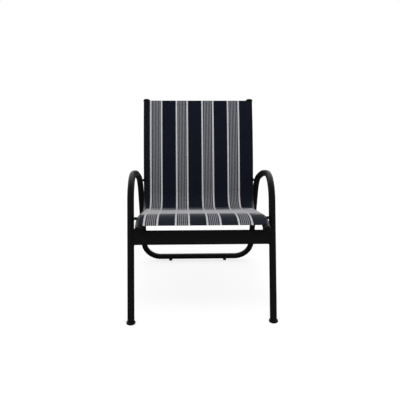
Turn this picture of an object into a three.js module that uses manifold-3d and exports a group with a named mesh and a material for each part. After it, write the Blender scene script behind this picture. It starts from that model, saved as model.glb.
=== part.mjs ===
// Stacking patio chair: a striped sling seat stretched between two bent rails, which are bolted
// inside a frame of round steel tube.
// Millimetres, +Z up. The chair faces -Y, and left and right are as seen from in front of it.
// The origin is on the floor, at the middle of the chair's footprint.

import * as THREE from 'three';
import { mergeVertices } from 'three/addons/utils/BufferGeometryUtils.js';
import Module from 'manifold-3d';

const wasm = await Module();
wasm.setup();

const degree = Math.PI / 180;

// Fits and cuts
const clearance = 0.3;
const cutOverrun = 5;

// Frame tube
const tubeDiameter = 28.6;
const tubeWall = 1.2;

// Side frame: where the straight runs of one side's tube would meet. The gap is how far the
// tube's inner side lies outside the rail's outer side, seen from in front. y runs back from
// the front edge of the sling, before the chair is centred on its origin.
const glideHeight = 8.2;
const footPlace = { gap: 11.2, y: - 24, z: 0 };
const armFrontPlace = { gap: 12.7, y: 173, z: 578.5 };
const armMiddlePlace = { gap: 8.7, y: 377, z: 540.5 };
const armRearPlace = { gap: 5.2, y: 549, z: 469.5 };
const baseCornerPlace = { gap: - 1.8, y: 641.6, z: glideHeight + tubeDiameter / 2 };
const armFrontRadius = 127;
const armMiddleRadius = 570;
const armRearRadius = 127;
const baseCornerRadius = 86;

// Joint in each rear leg
const spliceHeight = 140;
const sleeveLength = 64;
const sleeveWall = 1.5;

// Front stretcher, a flat tube welded between the front legs, with its middle this far below
// the front edge of the sling
const stretcherDrop = 86.2;
const stretcherWidth = 60;
const stretcherThickness = 20;
const stretcherWall = 1.2;
const stretcherCornerRadius = 4;

// Sling, as its upper surface runs in side view: up over the front roll, down the seat,
// round the bend at the hips and up the back
const seatFrontHeight = 417.5;
const frontLipAngle = 17.8 * degree;
const frontRollRadius = 220;
const seatSlope = 12.3 * degree;
const seatFlatLength = 295;
const hipBendRadius = 78.5;
const reclineLow = 12.5 * degree;
const reclineTop = 24.5 * degree;
const backLength = 443;
const fabricThickness = 1;

// Spline rods, and the sewn pockets of the fabric that go round them
const splineDiameter = 4.4;
const pocketWall = 0.7;

// Sling rails, round tube with a groove that holds the edge of the fabric
const railSpacing = 506;
const railDiameter = 30;
const railWall = 2;
const grooveLip = 1.6;
const grooveWeb = 1.4;
const slotGap = 0.9;
const railFrontOverhang = 11;
const railTopOverhang = 7;

// Rail end caps
const railCapRim = 2;
const railCapHeight = 8;
const railCapStemGap = 1.2;
const railCapStemLength = 16;

// Front foot caps
const footCapRim = 4.7;
const footCapHeight = 9;
const footCapEdge = 3;
const footCapStemLength = 30;

// Rear glides and their screws
const glideSpacing = 289;
const glideDiameter = 17;
const glideSaddleDepth = 4;
const glideEdge = 1.5;
const glideScrewDiameter = 4;
const glideScrewHeadDiameter = 7.6;
const glideScrewHeadHeight = 2.4;
const glideScrewHeadEdge = 0.8;
const glideScrewRecess = 2.2;
const glideScrewReach = 5;

// Bolts and what they pass through. The button head's outline is in shares of its radius and
// its height.
const boltDiameter = 6;
const boltHeadDiameter = 12;
const boltHeadHeight = 3.4;
const boltHeadShares = [ [ 1, 0 ], [ 0.87, 0.7 ], [ 0.5, 1 ] ];
const boltSocketAcross = 4;
const boltSocketDepth = 2;
const boltHoleGap = 0.5;
const boltReach = 10;
const spacerWall = 3.2;
const insertWall = 1.2;
const insertFlangeWidth = 1.5;
const insertFlangeThickness = 1;
const insertLength = 12;

// Spreader bars welded between the rails
const spreaderDiameter = 22;
const spreaderWall = 1.4;
const seatSpreaderDistance = 262;
const seatSpreaderBow = 28;
const seatSpreaderEndRun = 48;
const seatSpreaderSlantRun = 72;
const seatSpreaderBendRadius = 55;
const backSpreaderDrop = 120;

// How finely round shapes are divided
const chordSag = 0.5;
const tubeSides = 14;
const boreSides = 12;
const railSides = 15;
const grooveSides = 7;
const fitSides = 28;
const boltSides = 12;
const socketSides = 6;
const capSides = 20;
const domeSteps = 4;
const edgeSteps = 3;

// Numbers that give one point in a mesh
const pointSize = 3;

// Sizes worked out from the ones above. The tube's bore is a polygon, and what goes into it
// clears its flats.
const tubeRadius = tubeDiameter / 2;
const tubeBoreFlat = ( tubeRadius - tubeWall ) * Math.cos( Math.PI / boreSides );
const railRadius = railDiameter / 2;
const railX = railSpacing / 2;
const pocketBore = splineDiameter / 2 + clearance;
const pocketRadius = pocketBore + pocketWall;
const grooveRadius = pocketRadius + clearance;
const grooveHeight = railRadius - grooveLip - grooveRadius;
const slotHalf = pocketWall + slotGap;
const chamberRadius = railRadius - railWall;
const chamberTop = grooveHeight - grooveRadius - grooveWeb;
const fabricUnderside = railRadius + clearance;
const fabricTopHeight = fabricUnderside + fabricThickness;
const threadBore = boltDiameter / 2 + clearance;
const insertRadius = threadBore + insertWall;

// Colours and finishes
function finish( color, roughness, metalness ) {

	return new THREE.MeshStandardMaterial( { color, roughness, metalness } );

}

const blackPowderCoat = finish( 0x161617, 0.38, 0.1 );
const blackPlastic = finish( 0x101011, 0.55, 0 );
const blackZinc = finish( 0x1b1b1d, 0.35, 0.9 );
const brightZinc = finish( 0xb4b6b8, 0.35, 1 );
const splineVinyl = finish( 0x2c2c2e, 0.5, 0 );
const navySling = finish( 0x1b1d29, 0.7, 0 );

// The widest angle between rings round a bend, so that no chord lies deeper than the sag
function ringAngle( radius ) {

	return 2 * Math.acos( 1 - chordSag / radius );

}

// A path for sweeps whose rings stand only where it needs them: at the ends of straight runs
// and evenly along bends.
class RingPath extends THREE.Curve {

	constructor( points, tangents ) {

		super();
		this.points = points;
		this.tangents = tangents;

	}

	get steps() {

		return this.points.length - 1;

	}

	getSpacedPoints() {

		return this.points;

	}

	getTangentAt( share, target = new THREE.Vector3() ) {

		return target.copy( this.tangents[ Math.round( share * this.steps ) ] );

	}

}

// A tube's centreline through straight runs that meet at the given corners, each corner
// rounded to its bend radius.
function bentPath( corners, radii ) {

	const runs = corners.slice( 1 ).map( ( corner, i ) => corner.clone().sub( corners[ i ] ).normalize() );
	const points = [ corners[ 0 ] ];
	const tangents = [ runs[ 0 ] ];
	radii.forEach( ( radius, i ) => {

		const before = runs[ i ];
		const after = runs[ i + 1 ];
		const turn = before.angleTo( after );
		const axis = before.clone().cross( after ).normalize();
		const inward = axis.clone().cross( before );
		const centre = corners[ i + 1 ].clone()
			.addScaledVector( before, - radius * Math.tan( turn / 2 ) )
			.addScaledVector( inward, radius );
		const steps = Math.ceil( turn / ringAngle( radius ) );
		for ( let step = 0; step <= steps; step ++ ) {

			const angle = turn * step / steps;
			const spoke = inward.clone().multiplyScalar( - radius ).applyAxisAngle( axis, angle );
			points.push( centre.clone().add( spoke ) );
			tangents.push( before.clone().applyAxisAngle( axis, angle ) );

		}

	} );
	points.push( corners.at( - 1 ) );
	tangents.push( runs.at( - 1 ) );
	return new RingPath( points, tangents );

}

// A curve in side view made of straight and round spans, each with its length and the angle
// that it turns through, upwards where positive.
class SideProfile {

	constructor( start, heading, spans ) {

		this.spans = [];
		let from = 0;
		let place = { ...start, heading };
		for ( const { length, turn } of spans ) {

			const span = { ...place, length, turn, from };
			this.spans.push( span );
			place = SideProfile.along( span, length );
			from += length;

		}

		this.length = from;

	}

	static along( span, distance ) {

		const { y, z, heading, length, turn } = span;
		if ( turn === 0 ) {

			return { y: y + distance * Math.cos( heading ), z: z + distance * Math.sin( heading ), heading };

		}

		const radius = length / turn;
		const turned = heading + turn * distance / length;
		return {
			y: y + radius * ( Math.sin( turned ) - Math.sin( heading ) ),
			z: z - radius * ( Math.cos( turned ) - Math.cos( heading ) ),
			heading: turned
		};

	}

	at( distance ) {

		const span = this.spans.findLast( ( { from } ) => distance >= from ) ?? this.spans[ 0 ];
		return SideProfile.along( span, distance - span.from );

	}

	// Rings from one distance to another, at the ends of the spans and along the round ones
	distances( first, last ) {

		const marks = [ first ];
		for ( const { from, length, turn } of this.spans ) {

			const start = Math.max( first, from );
			const end = Math.min( last, from + length );
			const round = Math.abs( turn ) * Math.max( end - start, 0 ) / length;
			const roundSteps = Math.ceil( round / ringAngle( length / Math.abs( turn ) ) );
			const steps = turn === 0 ? Math.sign( end - start ) : roundSteps;
			for ( let step = 1; step <= steps; step ++ ) {

				marks.push( start + ( end - start ) * step / steps );

			}

		}

		return marks;

	}

	path( x, first, last ) {

		const places = this.distances( first, last ).map( ( distance ) => this.at( distance ) );
		return new RingPath(
			places.map( ( { y, z } ) => new THREE.Vector3( x, y, z ) ),
			places.map( ( { heading } ) => new THREE.Vector3( 0, Math.cos( heading ), Math.sin( heading ) ) )
		);

	}

}

// A round span of the rail's centre, from the radius of the fabric's upper surface
function roundSpan( radius, turn ) {

	return { length: Math.abs( turn ) * ( radius + Math.sign( turn ) * fabricTopHeight ), turn };

}

// The curve that the rail's centre follows, at a fixed depth under the fabric's upper surface.
// The rail runs straight on past the fabric at both ends.
function railProfile() {

	const lipSine = Math.sin( frontLipAngle );
	const lipCosine = Math.cos( frontLipAngle );
	const start = {
		y: fabricTopHeight * lipSine - railFrontOverhang * lipCosine,
		z: seatFrontHeight - fabricTopHeight * lipCosine - railFrontOverhang * lipSine
	};
	const hipTurn = seatSlope + Math.PI / 2 - reclineLow;
	const backTurn = reclineLow - reclineTop;
	return new SideProfile( start, frontLipAngle, [
		{ length: railFrontOverhang, turn: 0 },
		roundSpan( frontRollRadius, - frontLipAngle - seatSlope ),
		{ length: seatFlatLength, turn: 0 },
		roundSpan( hipBendRadius, hipTurn ),
		roundSpan( backLength / Math.abs( backTurn ), backTurn ),
		{ length: railTopOverhang, turn: 0 }
	] );

}

// Points along an arc, as a shape's outline needs them
function arcPoints( x, y, radius, from, to, steps ) {

	return Array.from( { length: steps + 1 }, ( _, i ) => {

		const angle = from + ( to - from ) * i / steps;
		return new THREE.Vector2( x + radius * Math.cos( angle ), y + radius * Math.sin( angle ) );

	} );

}

function circlePoints( radius, sides, x = 0, y = 0 ) {

	return arcPoints( x, y, radius, 0, 2 * Math.PI, sides ).slice( 0, - 1 );

}

function roundedRectangle( width, height, radius ) {

	const quarter = Math.PI / 2;
	const corners = [ [ 1, 1 ], [ - 1, 1 ], [ - 1, - 1 ], [ 1, - 1 ] ];
	return corners.flatMap( ( [ alongX, alongY ], i ) => arcPoints(
		alongX * ( width / 2 - radius ),
		alongY * ( height / 2 - radius ),
		radius,
		i * quarter,
		( i + 1 ) * quarter,
		edgeSteps
	) );

}

function section( outline, holes ) {

	const shape = new THREE.Shape( outline );
	shape.holes = holes.map( ( points ) => new THREE.Path( points ) );
	return shape;

}

function sweep( outline, path, holes = [] ) {

	return new THREE.ExtrudeGeometry( section( outline, holes ), { steps: path.steps, extrudePath: path } );

}

function roundTube( path, diameter, wall ) {

	const bore = circlePoints( diameter / 2 - wall, boreSides );
	return sweep( circlePoints( diameter / 2, tubeSides ), path, [ bore ] );

}

// Closed solids for joining and cutting
function solid( geometry ) {

	const bare = geometry.clone();
	bare.deleteAttribute( 'normal' );
	bare.deleteAttribute( 'uv' );
	const merged = mergeVertices( bare );
	return new wasm.Manifold( new wasm.Mesh( {
		numProp: pointSize,
		vertProperties: merged.attributes.position.array,
		triVerts: Uint32Array.from( merged.index.array )
	} ) );

}

function surface( manifold ) {

	const { vertProperties, triVerts } = manifold.getMesh();
	const geometry = new THREE.BufferGeometry();
	geometry.setAttribute( 'position', new THREE.BufferAttribute( vertProperties, pointSize ) );
	geometry.setIndex( new THREE.BufferAttribute( triVerts, 1 ) );
	geometry.computeVertexNormals();
	return geometry;

}

function cut( geometry, ...tools ) {

	return surface( tools.reduce( ( body, tool ) => body.subtract( solid( tool ) ), solid( geometry ) ) );

}

function join( geometry, ...others ) {

	return surface( others.reduce( ( body, other ) => body.add( solid( other ) ), solid( geometry ) ) );

}

// A turned piece about Z from its half outline, which starts and ends on the axis or closes
// on itself
function turned( outline, sides ) {

	const points = outline.map( ( [ radius, height ] ) => new THREE.Vector2( radius, height ) );
	return new THREE.LatheGeometry( points, sides ).rotateX( Math.PI / 2 );

}

// A ring about Z from height zero up
function turnedRing( outerRadius, innerRadius, height, sides ) {

	return turned( [
		[ innerRadius, 0 ],
		[ outerRadius, 0 ],
		[ outerRadius, height ],
		[ innerRadius, height ],
		[ innerRadius, 0 ]
	], sides );

}

// Rods along X or along Z between two places, for holes, stems and sockets
function rodAlongX( radius, fromX, toX, y, z, sides = boltSides ) {

	return new THREE.CylinderGeometry( radius, radius, toX - fromX, sides )
		.rotateZ( Math.PI / 2 )
		.translate( ( fromX + toX ) / 2, y, z );

}

function rodAlongZ( radius, fromZ, toZ, x, y, sides = boltSides ) {

	return new THREE.CylinderGeometry( radius, radius, toZ - fromZ, sides )
		.rotateX( Math.PI / 2 )
		.translate( x, y, ( fromZ + toZ ) / 2 );

}

// Where two paths cross in side view, with the place on the first path
function sideCrossings( path, other ) {

	const crossings = [];
	for ( let i = 0; i < path.steps; i ++ ) {

		const a = path.points[ i ];
		const run = path.points[ i + 1 ].clone().sub( a );
		for ( let j = 0; j < other.steps; j ++ ) {

			const b = other.points[ j ];
			const otherRun = other.points[ j + 1 ].clone().sub( b );
			const gap = b.clone().sub( a );
			const across = run.y * otherRun.z - run.z * otherRun.y;
			const share = ( gap.y * otherRun.z - gap.z * otherRun.y ) / across;
			const otherShare = ( gap.y * run.z - gap.z * run.y ) / across;
			if ( share >= 0 && share < 1 && otherShare >= 0 && otherShare < 1 ) {

				crossings.push( a.clone().addScaledVector( run, share ) );

			}

		}

	}

	return crossings;

}

// Routes and places shared by the pieces, on the right-hand side of the chair
function sidePoint( { gap, y, z } ) {

	return new THREE.Vector3( railX + railRadius + gap + tubeRadius, y, z );

}

function mirrored( { x, y, z } ) {

	return new THREE.Vector3( - x, y, z );

}

const [ foot, armFront, armMiddle, armRear, baseCorner ] = [
	footPlace, armFrontPlace, armMiddlePlace, armRearPlace, baseCornerPlace
].map( sidePoint );
const legRun = armFront.clone().sub( foot ).normalize();
const legLean = Math.atan2( legRun.y, legRun.z );
const legStart = foot.clone().addScaledVector( legRun, - tubeDiameter );
const rearLegRun = baseCorner.clone().sub( armRear ).normalize();
const spliceDistance = ( spliceHeight - armRear.z ) / rearLegRun.z;
const splicePoint = armRear.clone().addScaledVector( rearLegRun, spliceDistance );
const sidePath = bentPath(
	[ legStart, armFront, armMiddle, armRear, splicePoint ],
	[ armFrontRadius, armMiddleRadius, armRearRadius ]
);
const rail = railProfile();
const fabricStart = railFrontOverhang;
const fabricEnd = rail.length - railTopOverhang;
const boltPlaces = sideCrossings( sidePath, rail.path( railX, 0, rail.length ) );
const [ frontBoltPlace, rearBoltPlace ] = boltPlaces;

// Side tube: front leg, arm and rear leg in one bend-up, its inner side drilled for the two
// inserts that take the rail bolts, and cut off level above the foot cap
function armTubeGeometry() {

	const trimTop = footCapHeight + clearance;
	const trimBottom = - tubeDiameter - cutOverrun;
	const footTrim = new THREE.BoxGeometry( 2 * tubeDiameter, 2 * tubeDiameter, trimTop - trimBottom )
		.translate( foot.x, foot.y, ( trimTop + trimBottom ) / 2 );
	const holeRadius = insertRadius + clearance;
	const insertHoles = boltPlaces.map( ( { x, y, z } ) => rodAlongX( holeRadius, railX, x, y, z ) );
	return cut( roundTube( sidePath, tubeDiameter, tubeWall ), footTrim, ...insertHoles );

}

// Rear floor tube: a bar with an upturned end at each side, drilled for the glide screws
function baseTubeGeometry() {

	const upturn = splicePoint.clone().addScaledVector( rearLegRun, clearance );
	const path = bentPath(
		[ upturn, baseCorner, mirrored( baseCorner ), mirrored( upturn ) ],
		[ baseCornerRadius, baseCornerRadius ]
	);
	const screwHoles = [ - 1, 1 ].map( ( side ) => rodAlongZ(
		glideScrewDiameter / 2 + clearance,
		glideHeight - cutOverrun,
		baseCorner.z,
		side * glideSpacing / 2,
		baseCorner.y
	) );
	return cut( roundTube( path, tubeDiameter, tubeWall ), ...screwHoles );

}

// Sleeve inside the rear leg, across the joint between the side tube and the floor tube
function spliceSleeveGeometry() {

	const half = rearLegRun.clone().multiplyScalar( sleeveLength / 2 );
	const path = bentPath( [ splicePoint.clone().sub( half ), splicePoint.clone().add( half ) ], [] );
	return roundTube( path, 2 * ( tubeBoreFlat - clearance ), sleeveWall );

}

// Front stretcher: a flat tube that leans with the legs, its ends shaped to fit round them
function frontStretcherGeometry() {

	const outline = roundedRectangle( stretcherWidth, stretcherThickness, stretcherCornerRadius );
	const bore = roundedRectangle(
		stretcherWidth - 2 * stretcherWall,
		stretcherThickness - 2 * stretcherWall,
		stretcherCornerRadius - stretcherWall
	);
	const rise = seatFrontHeight - stretcherDrop - foot.z;
	const centre = foot.clone().addScaledVector( legRun, rise / legRun.z );
	const flatTube = section( outline, [ bore ] );
	const bar = new THREE.ExtrudeGeometry( flatTube, { depth: 2 * foot.x, bevelEnabled: false } )
		.translate( 0, 0, - foot.x )
		.rotateY( Math.PI / 2 )
		.rotateX( - legLean )
		.translate( 0, centre.y, centre.z );
	const endCuts = [ - 1, 1 ].flatMap( ( side ) => {

		const ends = side > 0 ? [ foot, armFront ] : [ mirrored( foot ), mirrored( armFront ) ];
		const leg = sweep( circlePoints( tubeRadius + clearance, fitSides ), bentPath( ends, [] ) );
		const reach = stretcherWidth + tubeDiameter;
		const beyondLeg = new THREE.BoxGeometry( tubeDiameter, reach, reach )
			.translate( side * ( centre.x + tubeRadius ), centre.y, centre.z );
		return [ leg, beyondLeg ];

	} );
	return cut( bar, ...endCuts );

}

// Sling rail: a round section with a hollow chamber, and over it a groove open at the top for
// the edge of the fabric
function railGeometry() {

	const slotAngle = Math.acos( slotHalf / railRadius );
	const mouthAngle = Math.acos( slotHalf / grooveRadius );
	const outline = [
		...arcPoints( 0, 0, railRadius, Math.PI - slotAngle, 2 * Math.PI + slotAngle, railSides ),
		...arcPoints( 0, grooveHeight, grooveRadius, mouthAngle, - Math.PI - mouthAngle, grooveSides )
	];
	const chamberAngle = Math.asin( chamberTop / chamberRadius );
	const chamber = arcPoints( 0, 0, chamberRadius, chamberAngle, - Math.PI - chamberAngle, boreSides );
	const boltHoles = boltPlaces.map( ( { y, z } ) => rodAlongX(
		boltDiameter / 2 + boltHoleGap,
		railX - railDiameter,
		railX + railDiameter,
		y,
		z
	) );
	return cut( sweep( outline, rail.path( railX, 0, rail.length ), [ chamber ] ), ...boltHoles );

}

// Cap in the end of a rail: a domed disc, with a stem that plugs the rail's hollow chamber
function railCapGeometry() {

	const radius = railRadius + railCapRim;
	const dome = arcPoints( 0, 0, 1, 0, Math.PI / 2, domeSteps )
		.slice( 0, - 1 )
		.map( ( { x, y } ) => [ radius * x, railCapHeight * y ] );
	const stemRadius = ( chamberTop + chamberRadius ) / 2 - railCapStemGap;
	const stemHeight = ( chamberTop - chamberRadius ) / 2;
	const stem = rodAlongZ( stemRadius, - railCapStemLength, railCapHeight / 2, 0, stemHeight );
	return join( turned( [ [ 0, 0 ], ...dome, [ 0, railCapHeight ] ], capSides ), stem );

}

// Foot cap: a round pad on the floor, with a leaning stem inside the front leg
function footCapGeometry() {

	const radius = tubeRadius + footCapRim;
	const edge = footCapEdge;
	const outline = [
		...arcPoints( radius - edge, edge, edge, - Math.PI / 2, 0, edgeSteps ),
		...arcPoints( radius - edge, footCapHeight - edge, edge, 0, Math.PI / 2, edgeSteps )
	].map( ( { x, y } ) => [ x, y ] );
	const pad = turned( [ [ 0, 0 ], ...outline, [ 0, footCapHeight ] ], capSides );
	const start = legRun.clone().multiplyScalar( footCapHeight / 2 );
	const end = legRun.clone().multiplyScalar( footCapHeight + footCapStemLength );
	const stem = sweep( circlePoints( tubeBoreFlat - clearance, boreSides ), bentPath( [ start, end ], [] ) );
	return join( pad, stem ).translate( foot.x, foot.y, foot.z );

}

// Glide: a short round pad under the floor tube, hollowed to seat on it, with its screw hole
function glideGeometry() {

	const radius = glideDiameter / 2;
	const height = glideHeight + glideSaddleDepth;
	const body = turned( [
		[ 0, 0 ],
		[ radius - glideEdge, 0 ],
		[ radius, glideEdge ],
		[ radius, height ],
		[ 0, height ]
	], capSides );
	const saddleEnd = radius + cutOverrun;
	const saddle = rodAlongX( tubeRadius + clearance, - saddleEnd, saddleEnd, 0, baseCorner.z, fitSides );
	const shankHole = rodAlongZ( glideScrewDiameter / 2 + clearance, - cutOverrun, height + cutOverrun, 0, 0 );
	const headTop = glideScrewRecess + glideScrewHeadHeight + clearance;
	const headHole = rodAlongZ( glideScrewHeadDiameter / 2 + clearance, - cutOverrun, headTop, 0, 0 );
	return cut( body, saddle, shankHole, headHole );

}

// Pan-head screw, head down
function glideScrewGeometry() {

	const headTop = glideScrewRecess + glideScrewHeadHeight;
	const tip = glideHeight + tubeWall + glideScrewReach;
	const headRadius = glideScrewHeadDiameter / 2;
	const shankRadius = glideScrewDiameter / 2;
	return turned( [
		[ 0, glideScrewRecess ],
		[ headRadius - glideScrewHeadEdge, glideScrewRecess ],
		[ headRadius, glideScrewRecess + glideScrewHeadEdge ],
		[ headRadius, headTop ],
		[ shankRadius, headTop ],
		[ shankRadius, tip - shankRadius ],
		[ 0, tip ]
	], boltSides );

}

// Button-head bolt along X: the head's underside at the origin, the shank pointing away from
// the middle of the chair
function boltGeometry( length ) {

	const headRadius = boltHeadDiameter / 2;
	const shankRadius = boltDiameter / 2;
	const socketRadius = boltSocketAcross / 2 / Math.cos( Math.PI / socketSides );
	const body = turned( [
		[ 0, - length ],
		[ shankRadius, - length ],
		[ shankRadius, 0 ],
		...boltHeadShares.map( ( [ outward, upward ] ) => [ headRadius * outward, boltHeadHeight * upward ] ),
		[ 0, boltHeadHeight ]
	], boltSides );
	const socketBottom = boltHeadHeight - boltSocketDepth;
	const socket = rodAlongZ( socketRadius, socketBottom, boltHeadHeight + cutOverrun, 0, 0, socketSides );
	return cut( body, socket ).rotateY( - Math.PI / 2 );

}

// Threaded insert along X: the underside of its flange at the origin, the body pointing away
// from the middle of the chair
function insertGeometry() {

	const flangeRadius = insertRadius + insertFlangeWidth;
	return turned( [
		[ threadBore, - insertLength ],
		[ insertRadius, - insertLength ],
		[ insertRadius, 0 ],
		[ flangeRadius, 0 ],
		[ flangeRadius, insertFlangeThickness ],
		[ threadBore, insertFlangeThickness ],
		[ threadBore, - insertLength ]
	], boltSides ).rotateY( - Math.PI / 2 );

}

// Spreader bar between the rails at the given place on them, its ends shaped to fit against
// them. A bar with a bow drops away from the sitter between its end runs.
function spreaderGeometry( place, bow ) {

	const bowStart = railX - seatSpreaderEndRun;
	const bowEnd = bowStart - seatSpreaderSlantRun;
	const corner = ( x, z ) => new THREE.Vector3( x, 0, z );
	const halfBow = bow > 0 ? [ corner( bowStart, 0 ), corner( bowEnd, - bow ) ] : [];
	const otherHalf = halfBow.map( mirrored ).reverse();
	const corners = [ corner( railX, 0 ), ...halfBow, ...otherHalf, corner( - railX, 0 ) ];
	const radii = corners.slice( 2 ).map( () => seatSpreaderBendRadius );
	const bar = roundTube( bentPath( corners, radii ), spreaderDiameter, spreaderWall )
		.rotateX( place.heading )
		.translate( 0, place.y, place.z );
	const rails = [ - railX, railX ].map( ( x ) =>
		sweep( circlePoints( railRadius + clearance, fitSides ), rail.path( x, 0, rail.length ) ) );
	return cut( bar, ...rails );

}

// The edge of the fabric's section at +x or -x: down into the groove, round the pocket and
// back up
function fabricEdgeOutline( side ) {

	const neckAngle = Math.acos( pocketWall / pocketRadius );
	const points = [
		new THREE.Vector2( pocketWall, fabricUnderside ),
		...arcPoints( 0, grooveHeight, pocketRadius, neckAngle, - Math.PI - neckAngle, grooveSides ),
		new THREE.Vector2( - pocketWall, fabricUnderside )
	];
	return points.map( ( { x, y } ) => new THREE.Vector2( side * ( railX + x ), y ) );

}

// Sling fabric: a sheet across the rails, each edge going down into the groove to a pocket
// round the spline
function slingGeometry() {

	const outline = [
		new THREE.Vector2( railX + pocketWall, fabricTopHeight ),
		...fabricEdgeOutline( 1 ),
		...fabricEdgeOutline( - 1 ).reverse(),
		new THREE.Vector2( - railX - pocketWall, fabricTopHeight )
	];
	const pockets = [ - railX, railX ].map( ( x ) => circlePoints( pocketBore, grooveSides, x, grooveHeight ) );
	return sweep( outline, rail.path( 0, fabricStart, fabricEnd ), pockets );

}

function splineGeometry() {

	const outline = circlePoints( splineDiameter / 2, grooveSides, 0, grooveHeight );
	return sweep( outline, rail.path( railX, fabricStart, fabricEnd ) );

}

function mesh( name, geometry, material ) {

	const piece = new THREE.Mesh( geometry, material );
	piece.name = name;
	return piece;

}

// What holds a rail to the side tube: a bolt through the rail and a spacer into an insert in
// the tube's inner side
function railFastening( name, place ) {

	const boltSeat = railX - railRadius - clearance;
	const spacerStart = railX + railRadius + clearance;
	const flangeSeat = place.x - tubeRadius - clearance;
	const spacerLength = flangeSeat - insertFlangeThickness - clearance - spacerStart;
	const ring = turnedRing( threadBore + spacerWall, threadBore, spacerLength, boltSides )
		.rotateY( Math.PI / 2 );
	const spacer = mesh( `${ name }_rail_spacer`, ring, blackPlastic );
	spacer.position.set( spacerStart, place.y, place.z );
	const insert = mesh( `${ name }_rail_insert`, insertGeometry(), brightZinc );
	insert.position.set( flangeSeat, place.y, place.z );
	const bolt = mesh( `${ name }_rail_bolt`, boltGeometry( flangeSeat - boltSeat + boltReach ), blackZinc );
	bolt.position.set( boltSeat, place.y, place.z );
	return new THREE.Group().add( spacer, insert, bolt );

}

// A cap on the end of the rail, facing the way that the rail ends
function railCap( name, place, heading ) {

	const cap = mesh( name, railCapGeometry(), blackPlastic );
	const along = new THREE.Vector3( 0, Math.cos( heading ), Math.sin( heading ) );
	const up = new THREE.Vector3( 0, - Math.sin( place.heading ), Math.cos( place.heading ) );
	const across = up.clone().cross( along );
	cap.quaternion.setFromRotationMatrix( new THREE.Matrix4().makeBasis( across, up, along ) );
	cap.position.set( railX, place.y, place.z ).addScaledVector( along, clearance );
	return cap;

}

// Everything that the chair has once on each side
function sidePieces( side ) {

	const railStart = rail.at( 0 );
	const railEnd = rail.at( rail.length );
	const glide = mesh( `${ side }_rear_glide`, glideGeometry(), blackPlastic );
	glide.position.set( glideSpacing / 2, baseCorner.y, 0 );
	const screw = mesh( `${ side }_glide_screw`, glideScrewGeometry(), brightZinc );
	screw.position.copy( glide.position );
	return new THREE.Group().add(
		mesh( `${ side }_arm_tube`, armTubeGeometry(), blackPowderCoat ),
		mesh( `${ side }_splice_sleeve`, spliceSleeveGeometry(), brightZinc ),
		mesh( `${ side }_foot_cap`, footCapGeometry(), blackPlastic ),
		glide,
		screw,
		mesh( `${ side }_sling_rail`, railGeometry(), blackPowderCoat ),
		mesh( `${ side }_spline`, splineGeometry(), splineVinyl ),
		railCap( `${ side }_rail_front_cap`, railStart, railStart.heading + Math.PI ),
		railCap( `${ side }_rail_top_cap`, railEnd, railEnd.heading ),
		railFastening( `${ side }_front`, frontBoltPlace ),
		railFastening( `${ side }_rear`, rearBoltPlace )
	);

}

const rightSide = sidePieces( 'right' );
const leftSide = sidePieces( 'left' );
leftSide.scale.x = - 1;
const seatSpreaderPlace = rail.at( seatSpreaderDistance );
const backSpreaderPlace = rail.at( rail.length - backSpreaderDrop );
const chair = new THREE.Group().add(
	rightSide,
	leftSide,
	mesh( 'rear_base_tube', baseTubeGeometry(), blackPowderCoat ),
	mesh( 'front_stretcher', frontStretcherGeometry(), blackPowderCoat ),
	mesh( 'sling_fabric', slingGeometry(), navySling ),
	mesh( 'seat_spreader', spreaderGeometry( seatSpreaderPlace, seatSpreaderBow ), blackPowderCoat ),
	mesh( 'back_spreader', spreaderGeometry( backSpreaderPlace, 0 ), blackPowderCoat )
);

// The chair stands on the floor with its footprint centred on the origin
const bounds = new THREE.Box3().setFromObject( chair, true );
const middle = bounds.getCenter( new THREE.Vector3() );
chair.position.set( - middle.x, - middle.y, - bounds.min.z );

const sceneRoot = new THREE.Group();
sceneRoot.add( chair );

export default sceneRoot;
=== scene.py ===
# Stacking patio chair: the looks of a striped sling seat in a black round-tube frame.
# Metres, +Z up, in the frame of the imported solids. The chair faces -Y.

import math
from contextlib import contextmanager
from itertools import accumulate

import bmesh
import bpy
from mathutils import Matrix, Quaternion, Vector


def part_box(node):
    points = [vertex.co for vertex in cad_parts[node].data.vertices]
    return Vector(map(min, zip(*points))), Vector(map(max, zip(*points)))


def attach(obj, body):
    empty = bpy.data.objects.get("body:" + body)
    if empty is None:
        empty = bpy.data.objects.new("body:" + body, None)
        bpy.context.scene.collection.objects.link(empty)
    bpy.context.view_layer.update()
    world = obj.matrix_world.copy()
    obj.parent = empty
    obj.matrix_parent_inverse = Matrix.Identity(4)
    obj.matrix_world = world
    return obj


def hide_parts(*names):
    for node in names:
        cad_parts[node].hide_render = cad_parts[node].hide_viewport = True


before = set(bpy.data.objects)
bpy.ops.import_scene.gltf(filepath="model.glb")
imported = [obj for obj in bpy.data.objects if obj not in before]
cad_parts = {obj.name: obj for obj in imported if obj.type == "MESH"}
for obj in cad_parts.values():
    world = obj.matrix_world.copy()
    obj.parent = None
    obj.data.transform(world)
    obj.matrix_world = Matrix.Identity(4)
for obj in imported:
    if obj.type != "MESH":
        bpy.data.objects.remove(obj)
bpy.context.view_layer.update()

# The sling's front edge in the frame: the side frame's places are counted back from it
FRONT_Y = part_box("sling_fabric")[0].y

# The gap between pieces that touch, and the share of it that a cut leaves round a welded tube
# or on a glide. Points closer together than the join distance are one.
FIT = 0.0003
WELD_GAP = FIT / 2
GLIDE_GAP = FIT / 3
JOIN_DISTANCE = 0.000003

# Frame tube
TUBE_RADIUS = 0.0143
TUBE_WALL = 0.0012
TUBE_SIDES = 40
CUT_SIDES = 2 * TUBE_SIDES
BEND_STEP = math.radians(4.5)
FEWEST_BEND_STEPS = 2

# Sling rails, with the groove that holds the edge of the fabric
RAIL_X = 0.253
RAIL_RADIUS = 0.015
RAIL_SIDES = 58
GROOVE_RADIUS = 0.0035
GROOVE_HEIGHT = 0.0099
GROOVE_STEPS = 14
RAIL_FRONT_OVERHANG = 0.011
RAIL_TOP_OVERHANG = 0.007

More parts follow.
